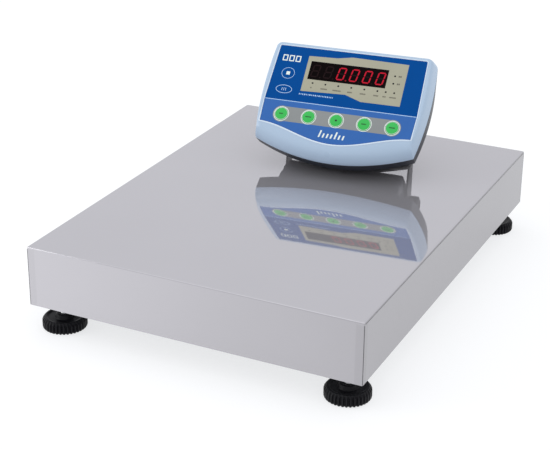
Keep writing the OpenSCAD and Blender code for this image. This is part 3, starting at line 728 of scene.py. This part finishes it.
def build_bezel():
    """Front bezel: a raised lip round the overlay, drafted sides and a convex chin."""
    back = panel_reach("front_bezel", 2)[0]
    side = [(0.0, -0.1), (0.02, 0.1), (0.1, 0.25), (0.3, 0.3), (0.46, 0.0), (0.58, -1.2), (0.68, -3.6),
            (0.78, -7.5), (0.88, -12.6), (0.96, -17.0), (1.0, back)]
    chin = [(0.0, -0.1), (0.01, 0.1), (0.05, 0.15), (0.16, -0.15), (0.3, -0.75), (0.46, -1.9), (0.62, -3.9),
            (0.77, -7.0), (0.89, -11.0), (0.97, -15.2), (1.0, back)]
    inner_edge = overlay_outline()
    outer_edge = shell_outline(PARTING)
    rings = []
    rows = 34
    for row in range(rows + 1):
        t = row / rows
        s, c = profile_at(side, t), profile_at(chin, t)
        ring = []
        for k, (a, b) in enumerate(zip(inner_edge, outer_edge)):
            share = bottom_share(k)
            out = mix(s[0], c[0], share)
            ring.append((mix(a[0], b[0], out), mix(a[1], b[1], out), mix(s[1], c[1], share)))
        rings.append(ring)
    wall = 0.975
    centre_y = 28
    inside_back = [(x * wall, (y - centre_y) * wall + centre_y, back) for x, y in outer_edge]
    inside_front = [(x * wall, (y - centre_y) * wall + centre_y, -4.5) for x, y in inner_edge]
    floor_edge = [(x, y, -0.6) for x, y in inner_edge]
    floor_in = [(x * 0.97, (y - centre_y) * 0.97 + centre_y, -0.6) for x, y in inner_edge]
    builder = loft([floor_in, floor_edge] + rings + [inside_back, inside_front], closed_rings=True)
    bezel = add_object("bezel_shell", finish_mesh(builder, "bezel_shell", PANEL), "head",
                       MATERIALS["bezel"], angle=38)
    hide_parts("front_bezel")


def build_lip():
    """Fine rounded ridge that frames the overlay; its colour, lighter than the bezel's, is a painted highlight."""
    path = [Vector((x, y, 0)) for x, y in overlay_outline()]
    rings = []
    count = len(path)
    for k, point in enumerate(path):
        along = (path[(k + 1) % count] - path[k - 1]).normalized()
        out = Vector((along.y, -along.x, 0))
        share = bottom_share(k)
        wide = mix(0.75, 1.15, share)
        ring = []
        for step in range(9):
            angle = math.pi * step / 8
            height = 0.05 + 0.8 * math.sin(angle)
            ring.append(point + out * (wide * 0.95 - wide * math.cos(angle)) + Vector((0, 0, height)))
        rings.append(ring)
    builder = loft(rings, closed_rings=True)
    add_object("bezel_lip_painted_highlight", finish_mesh(builder, "bezel_lip_painted_highlight", PANEL), "head",
               MATERIALS["bezel_lip_painted_highlight"], angle=60)


# ---------- rear case ----------

RIM_DEPTH = 17.2
RIM_ROUNDING = 2.2
BELLY_HALF_WIDTH = 89
BELLY_CORNER = 5


def box_outline(half, low, high, radius, match):
    """Rounded rectangle with one point for each point of a shell outline, matched by direction."""
    centre = Vector((0, (low + high) / 2))
    points = []
    for x, y in match:
        direction = Vector((x / (half + 30), (y - 28) / ((high - low) / 2 + 35)))
        points.append(ray_to_box(direction, half, (high - low) / 2, radius) + centre)
    return [(point.x, point.y) for point in points]


def ray_to_box(direction, half_x, half_y, radius):
    """Where a direction from the middle meets a rounded rectangle."""
    direction = direction.normalized()
    scale = min(half_x / max(abs(direction.x), 1e-6), half_y / max(abs(direction.y), 1e-6))
    point = direction * scale
    core_x, core_y = half_x - radius, half_y - radius
    if abs(point.x) > core_x and abs(point.y) > core_y:
        corner = Vector((math.copysign(core_x, point.x), math.copysign(core_y, point.y)))
        along = direction.dot(corner)
        reach = along + math.sqrt(max(along * along - corner.length_squared + radius * radius, 0))
        point = direction * reach
    return point


def scaled_outline(outline, inset):
    changed = list(outline)
    for k in (0, 1, 2, 4):
        changed[k] -= inset
    changed[3] += inset * 0.8
    changed[5] += inset
    changed[6] = max(outline[6] - inset, 1)
    return shell_outline(changed)


def build_rear_case():
    """Dark rear shell: a rim that follows the bezel, and a rounded belly behind it."""
    front = panel_reach("case_gasket", 2)[0]
    back = panel_reach("rear_case", 2)[0]
    rim_back = front - RIM_DEPTH
    depth = rim_back - back
    base = shell_outline(PARTING)
    rim = (*RIM_EDGE[:5], RIM_EDGE[5] - 1, RIM_EDGE[6])
    rings = [[(x, y, front) for x, y in scaled_outline(PARTING, 3)],
             [(x, y, front) for x, y in scaled_outline(PARTING, 0.5)],
             [(x, y, front - 0.4) for x, y in scaled_outline(PARTING, 0.1)]]
    for share in (0.15, 0.35, 0.55, 0.75, 0.9):
        ring = [mix_point(a, b, share) for a, b in zip(base, shell_outline(rim))]
        rings.append([(x, y, mix(front, rim_back, share)) for x, y in ring])
    for angle in (20, 45, 70, 90):
        turn = math.radians(angle)
        inset = RIM_ROUNDING * (1 - math.cos(turn))
        z = rim_back + RIM_ROUNDING * (1 - math.sin(turn))
        rings.append([(x, y, z) for x, y in scaled_outline(rim, inset)])
    flare = [(0.0, 2.6), (0.03, 0.9), (0.1, 0.1)]
    # Share of the belly's depth, narrowing, low edge and high edge
    slices = [(0.0, 0.0, -31, 74), (0.35, 0.5, -26.5, 73), (0.68, 1.5, -20.5, 70), (1.0, 3.0, -11.5, 64)]

    def belly_ring(share, grow):
        for a, b in zip(slices, slices[1:]):
            if share <= b[0]:
                part = (share - a[0]) / (b[0] - a[0])
                half = BELLY_HALF_WIDTH - mix(a[1], b[1], part)
                low, high = mix(a[2], b[2], part), mix(a[3], b[3], part)
                break
        radius = BELLY_CORNER + max(grow, -3)
        outline = box_outline(half + grow, low - grow, high + grow, radius, base)
        return [(x, y, rim_back - depth * share) for x, y in outline]

    for share, grow in flare:
        rings.append(belly_ring(share, grow))
    for share in (0.2, 0.35, 0.5, 0.68, 0.8, 0.88):
        rings.append(belly_ring(share, 0))
    for angle in (30, 60, 90):
        turn = math.radians(angle)
        share = 1 - BELLY_CORNER / depth * (1 - math.sin(turn))
        rings.append(belly_ring(share, -BELLY_CORNER * (1 - math.cos(turn))))
    rings.append(belly_ring(1.0, -12))
    builder = loft(rings, cap_last=True)
    inner = [[(x, y, front) for x, y in scaled_outline(PARTING, 3)],
             [(x, y, rim_back + 3) for x, y in scaled_outline(RIM_EDGE, 3)]]
    inside = loft(inner, cap_last=True)
    whole = join_builders([builder, inside])
    case = add_object("rear_shell", finish_mesh(whole, "rear_shell", PANEL), "head",
                      MATERIALS["case"], angle=35)
    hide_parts("rear_case")


def mix_point(a, b, share):
    return mix(a[0], b[0], share), mix(a[1], b[1], share)


# ---------- printed overlay ----------

def print_on_panel(name, loops, low, high, material):
    builder = inlay(loops, low, high)
    return add_object(name, finish_mesh(builder, name, PANEL), "head", MATERIALS[material], smooth=False)


def build_overlay_print():
    """Printed zones and marks of the overlay, as thin inlays on the film."""
    x0, x1 = panel_reach("display_window", 0)
    y0, y1 = panel_reach("display_window", 1)
    window = rectangle(x0 - 0.05, x1 + 0.05, y0 - 0.05, y1 + 0.05)
    keys = [panel_middle(f"key_{number}", 0) for number in range(1, 6)]
    lamps = lamp_places()

    # Lower zone under a thin light line
    divider = 20.5
    key_holes = [circle(x, 0, 9.9, 48) for x in keys]
    print_on_panel("overlay_lower_zone", [zone_loop(divider)] + key_holes, 0.02, 0.06, "film_mid")
    print_on_panel("overlay_divider", [rectangle(-109.3, 109.3, divider - 0.45, divider + 0.45)],
                   0.02, 0.09, "film_light")

    # Beige field round the display
    beige = [(-61.6, 37.8), (3.2, 40.2), (27.1, 32.4), (83, 32.6), (82.4, 96.2), (0.9, 97.6), (-20.4, 93.7),
             (-62, 92.3)]
    lamp_holes = [circle(x, y, 1.35, 16) for x, y in lamps]
    print_on_panel("display_field", [beige, window] + lamp_holes, 0.02, 0.07, "film_beige")

    # Band behind the keys
    band = capsule(keys[0], keys[-1], 0.5, 11.2, 16)
    print_on_panel("key_band", [band] + key_holes, 0.06, 0.1, "film_grey")
    for number, x in enumerate(keys, 1):
        ring = [circle(x, 0, 11.0, 64), circle(x, 0, 9.92, 64)]
        print_on_panel(f"key_ring_{number}", ring, 0.1, 0.16, "film_white")
        if number in (1, 5):
            halo = [circle(x, 0, 12.3, 64), circle(x, 0, 11.0, 64)]
            print_on_panel(f"key_halo_{number}", halo, 0.05, 0.12, "film_grey")
    build_marks(lamps)


def zone_loop(divider):
    """Outline of the overlay below the divider line."""
    inset = 0.5
    edge = [(x * (1 - inset / 109), bell_height(x) + inset)
            for x in (OVERLAY_LOW[0] * mix(-1, 1, k / 60) for k in range(61))]
    return edge + [(OVERLAY_MID[0] - inset, divider), (-OVERLAY_MID[0] + inset, divider)]


def lamp_places():
    """Centres of the indicator lamps, from the separate solids of their node."""
    mesh = NODES["indicator_lamps"].data
    builder = bmesh.new()
    builder.from_mesh(mesh)
    bmesh.ops.remove_doubles(builder, verts=builder.verts, dist=1e-6)
    seen, places = set(), []
    for vertex in builder.verts:
        if vertex.index in seen:
            continue
        stack, island = [vertex], []
        seen.add(vertex.index)
        while stack:
            current = stack.pop()
            island.append(PANEL_INVERSE @ current.co)
            for edge in current.link_edges:
                other = edge.other_vert(current)
                if other.index not in seen:
                    seen.add(other.index)
                    stack.append(other)
        xs = [point.x for point in island]
        ys = [point.y for point in island]
        places.append(((min(xs) + max(xs)) / 2, (min(ys) + max(ys)) / 2))
    builder.free()
    return sorted(places)


def dashes(x, y, widths, height, gap):
    """A row of small bars that stands in for a line of lettering."""
    loops = []
    for width in widths:
        loops.append(rectangle(x, x + width, y, y + height))
        x += width + gap
    return loops


def bars(name, loops, low, high, material):
    whole = join_builders([inlay([loop], low, high) for loop in loops])
    return add_object(name, finish_mesh(whole, name, PANEL), "head", MATERIALS[material], smooth=False)


def ring_mark(name, x, y, half_x, half_y, line, material):
    angles = [math.tau * k / 40 for k in range(40)]
    outer = [(x + half_x * math.cos(a), y + half_y * math.sin(a)) for a in angles]
    inner = [(x + (half_x - line) * math.cos(a), y + (half_y - line) * math.sin(a)) for a in angles]
    print_on_panel(name, [outer, inner], 0.02, 0.08, material)


def slanted(x, y, width, height, lean=0.18):
    """A leaning bar with its lower left corner at x, y."""
    return [(x, y), (x + width, y), (x + width + lean * height, y + height), (x + lean * height, y + height)]


def build_marks(lamps):
    """Plain stand-ins for the marks and lettering."""
    # Three open boxes, a ring with a square and an oval with bars at the left
    for k in range(3):
        x = -99.5 + 9.6 * k
        open_box = [rectangle(x, x + 7.4, 81, 90.5), rectangle(x + 1.5, x + 5.9, 82.5, 89)]
        print_on_panel(f"mark_box_{k + 1}", open_box, 0.02, 0.08, "film_white")
    ring_mark("mark_ring", -86, 62.5, 9.6, 8.6, 0.6, "film_light")
    bars("mark_ring_square", [rectangle(-88.6, -83.4, 60, 65)], 0.02, 0.08, "film_white")
    ring_mark("mark_oval", -86, 37.5, 12, 6.4, 0.75, "film_light")
    bars("mark_oval_bars", [rectangle(-89.2 + 2.7 * k, -88.4 + 2.7 * k, 35.4, 39.6) for k in range(3)],
         0.02, 0.08, "film_light")
    # Small line under the display field
    random.seed(7)
    widths = [random.choice((1.0, 1.4, 1.9)) for _ in range(20)]
    bars("small_print", dashes(-62.5, 32.2, widths, 2.0, 1.25), 0.02, 0.08, "film_light")
    # Row of leaning bars in place of the name under the keys
    heights = (10.5, 6.4, 6.4, 6.4, 10.5, 6.4, 6.4)
    loops = [slanted(-20 + 5.7 * k, -27.3, 2.3, height) for k, height in enumerate(heights)]
    bars("panel_name_bars", loops, 0.07, 0.12, "film_white")
    # Labels of the lamps
    loops = []
    for number, (x, y) in enumerate(lamps):
        if y < panel_middle("display_window", 1) - 14:
            count = (2, 8, 10, 6, 7, 6, 4, 4)[number % 8]
            wide = count * 1.2 - 0.3
            loops += dashes(x - wide / 2 - 0.8, y - 8.2, [0.9] * count, 2.0, 0.3)
        else:
            loops += dashes(x + 5.2, y - 1.2, [1.8, 1.8], 2.4, 0.5)
    bars("lamp_labels", loops, 0.07, 0.1, "film_label")


# ---------- display ----------

def segment(x, y, length, width, upright):
    """Pointed bar of a seven segment digit, centred on x, y."""
    half, thick = length / 2, width / 2
    tip = thick
    points = [(-half, 0), (-half + tip, -thick), (half - tip, -thick), (half, 0), (half - tip, thick),
              (-half + tip, thick)]
    if upright:
        points = [(-b, a) for a, b in points]
    return [(x + a, y + b) for a, b in points]


def digit_segments(x, y, wide, tall, stroke, slant):
    """The seven segments of a digit, keyed by their usual letters, leaning to the right."""
    half_w, half_h = wide / 2 - stroke / 2, tall / 2 - stroke / 2
    long_w = 2 * half_w - 0.5
    long_h = half_h - 0.5
    places = {"a": (0, half_h, long_w, False), "g": (0, 0, long_w, False), "d": (0, -half_h, long_w, False),
              "f": (-half_w, half_h / 2, long_h, True), "b": (half_w, half_h / 2, long_h, True),
              "e": (-half_w, -half_h / 2, long_h, True), "c": (half_w, -half_h / 2, long_h, True)}
    lean = math.tan(math.radians(slant))
    result = {}
    for letter, (dx, dy, length, upright) in places.items():
        outline = segment(dx, dy, length, stroke, upright)
        result[letter] = [(x + a + b * lean, y + b) for a, b in outline]
    return result


def build_digits():
    """Six digits behind the window: the right four read 0.000."""
    x0, x1 = panel_reach("display_window", 0)
    y0, y1 = panel_reach("display_window", 1)
    surface = panel_reach("display_window", 2)[1]
    pitch = (x1 - x0) / 6
    centre_y = (y0 + y1) / 2 - 0.3
    lit, dark, points = [], [], []
    for place in range(6):
        x = x0 + pitch * (place + 0.5)
        segments = digit_segments(x, centre_y, 11.4, 19.6, 1.95, 8)
        for letter, outline in segments.items():
            if place >= 2 and letter != "g":
                lit.append(outline)
            else:
                dark.append(outline)
        point = circle(x + 8.0, centre_y - 9.2, 1.15, 20)
        (points if place == 2 else dark).append(point)
    bars("digits_lit", lit, surface + 0.005, surface + 0.06, "lit")
    bars("digit_point", points, surface + 0.005, surface + 0.06, "point")
    bars("digits_dark", dark, surface + 0.005, surface + 0.04, "unlit")


# ---------- keys, knobs ----------

def build_keys():
    for number in range(1, 6):
        node = f"key_{number}"
        low, high = panel_reach(node, 2)
        radius = 9.5
        outline = [(0.01, low), (radius + 1.1, low), (radius + 1.1, low + 2.0), (radius, low + 2.0),
                   (radius, 0.25), (radius - 0.7, 0.7), (radius * 0.6, high - 0.12), (0.01, high)]
        builder = revolve(rounded_profile(outline, 0.5, 3), steps=64)
        place = PANEL @ Matrix.Translation((panel_middle(node, 0), 0, 0))
        cap = add_object(f"key_cap_{number}", finish_mesh(builder, "key_cap", place), f"key_{number}",
                         MATERIALS["key"], angle=45)
        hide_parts(node)
        rim = inlay([circle(0, 0, 9.25, 64), circle(0, 0, 8.75, 64)], 0.72, 0.8)
        add_object(f"key_rim_{number}", finish_mesh(rim, "key_rim", place), f"key_{number}",
                   MATERIALS["film_white"], smooth=False)
        count = (4, 6, 1, 5, 6)[number - 1]
        starts = [1.4 * k - 0.7 * count for k in range(count)]
        loops = [rectangle(x, x + 1.0, -0.8, 0.8) for x in starts]
        if number == 3:
            loops = [circle(0, 0, 1.5, 20)]
        whole = join_builders([inlay([loop], high - 0.02, high + 0.03) for loop in loops])
        add_object(f"key_mark_{number}", finish_mesh(whole, "key_mark", place), f"key_{number}",
                   MATERIALS["film_ink"], smooth=False)


def build_knobs():
    """Lobed clamp knobs with a steel screw through the bracket's arm."""
    for side, sign in (("left", -1), ("right", 1)):
        node = "clamp_knob_" + side
        joint = JOINTS[f"knob_{side}_turn"]
        low, high = span(node, TILT_AXIS)
        pivot = Vector(joint["pos_m"])
        outward = TILT_AXIS * sign
        tip = (high if sign > 0 else -low) - outward.dot(pivot)
        place = axes_frame(PANEL_UP, outward.cross(PANEL_UP), outward, pivot + outward * tip)
        height = 15
        outline = [(0.01, -height), (9.5, -height), (13, -height + 1), (14, -height + 3), (14, -2.2), (12.6, -0.6),
                   (9.5, 0), (8.0, 0), (7.4, -1.0), (0.01, -1.0)]

        def lobed(angle, reach, z):
            edge = max(0.0, min(1.0, (reach - 8) / 5))
            return reach - 2.2 * edge * (0.5 - 0.5 * math.cos(6 * angle)) ** 1.5

        builder = revolve(rounded_profile(outline, 0.9, 4), steps=120, radius_at=lobed)
        knob = add_object("knob_" + side, finish_mesh(builder, "knob", place), "knob_" + side,
                          MATERIALS["black_plastic"])
        shank_length = (high - low) / MM - height
        rod = threaded_rod(2.95, -height - shank_length + 0.2, -height + 0.2, 1.0, 0.35, 28)
        add_object("knob_screw_" + side, finish_mesh(rod, "knob_screw", place), "knob_" + side,
                   MATERIALS["zinc"])
        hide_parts(node)


# ---------- stage, lights and camera ----------

def build_stage():
    bpy.ops.mesh.primitive_plane_add(size=16, location=(0, 0, 0))
    floor = bpy.context.object
    floor.name = "studio_floor"
    shader = Shader("floor_paper", (0.35, 0.35, 0.355), 1.0, Specular_IOR_Level=0.0)
    shader.vary_color(shader.noise(1.5), (0.345, 0.345, 0.35))
    shader.set("Emission Color", (0.98, 0.99, 1.0, 1))
    shader.set("Emission Strength", 0.72)
    floor.data.materials.append(shader.material)


def add_light(name, size, energy, position, target):
    data = bpy.data.lights.new(name, "AREA")
    data.shape = "RECTANGLE"
    data.size, data.size_y = size
    data.energy = energy
    light = bpy.data.objects.new(name, data)
    bpy.context.scene.collection.objects.link(light)
    light.location = position
    light.rotation_euler = (Vector(target) - Vector(position)).to_track_quat("-Z", "Y").to_euler()


def build_lights():
    world = bpy.data.worlds.new("studio")
    world.use_nodes = True
    background = world.node_tree.nodes["Background"]
    background.inputs["Color"].default_value = (0.96, 0.97, 1.0, 1)
    background.inputs["Strength"].default_value = 0.86
    bpy.context.scene.world = world
    middle_point = (0, 0, 0.1)
    add_light("key", (1.6, 1.2), 18, (-2.3, -1.5, 1.2), middle_point)
    add_light("top", (2.4, 2.4), 9, (-0.4, 0.4, 2.8), middle_point)


def build_camera():
    """Camera at the object's usual three quarter view, from angles, distance and look point."""
    azimuth, elevation, roll = math.radians(25.64), math.radians(23.86), math.radians(0.55)
    distance, lens = 1.8397, 94.4
    look = Vector((0.0186, -0.1023, PLATTER_HIGH.z))
    away = Vector((math.sin(azimuth) * math.cos(elevation), -math.cos(azimuth) * math.cos(elevation),
                   math.sin(elevation)))
    data = bpy.data.cameras.new("camera")
    data.lens = lens
    data.sensor_width = 36
    data.clip_end = 50
    camera = bpy.data.objects.new("camera", data)
    bpy.context.scene.collection.objects.link(camera)
    camera.location = look + away * distance
    turn = (-away).to_track_quat("-Z", "Y") @ Matrix.Rotation(roll, 3, "Z").to_quaternion()
    camera.rotation_euler = turn.to_euler()
    bpy.context.scene.camera = camera


def set_view():
    bpy.context.scene.view_settings.view_transform = "Standard"
    bpy.context.scene.view_settings.look = "None"


build_camera()
set_view()
dress_cad_nodes()
build_platter()
build_feet()
build_bezel()
build_lip()
build_rear_case()
build_overlay_print()
build_digits()
build_keys()
build_knobs()
build_stage()
build_lights()
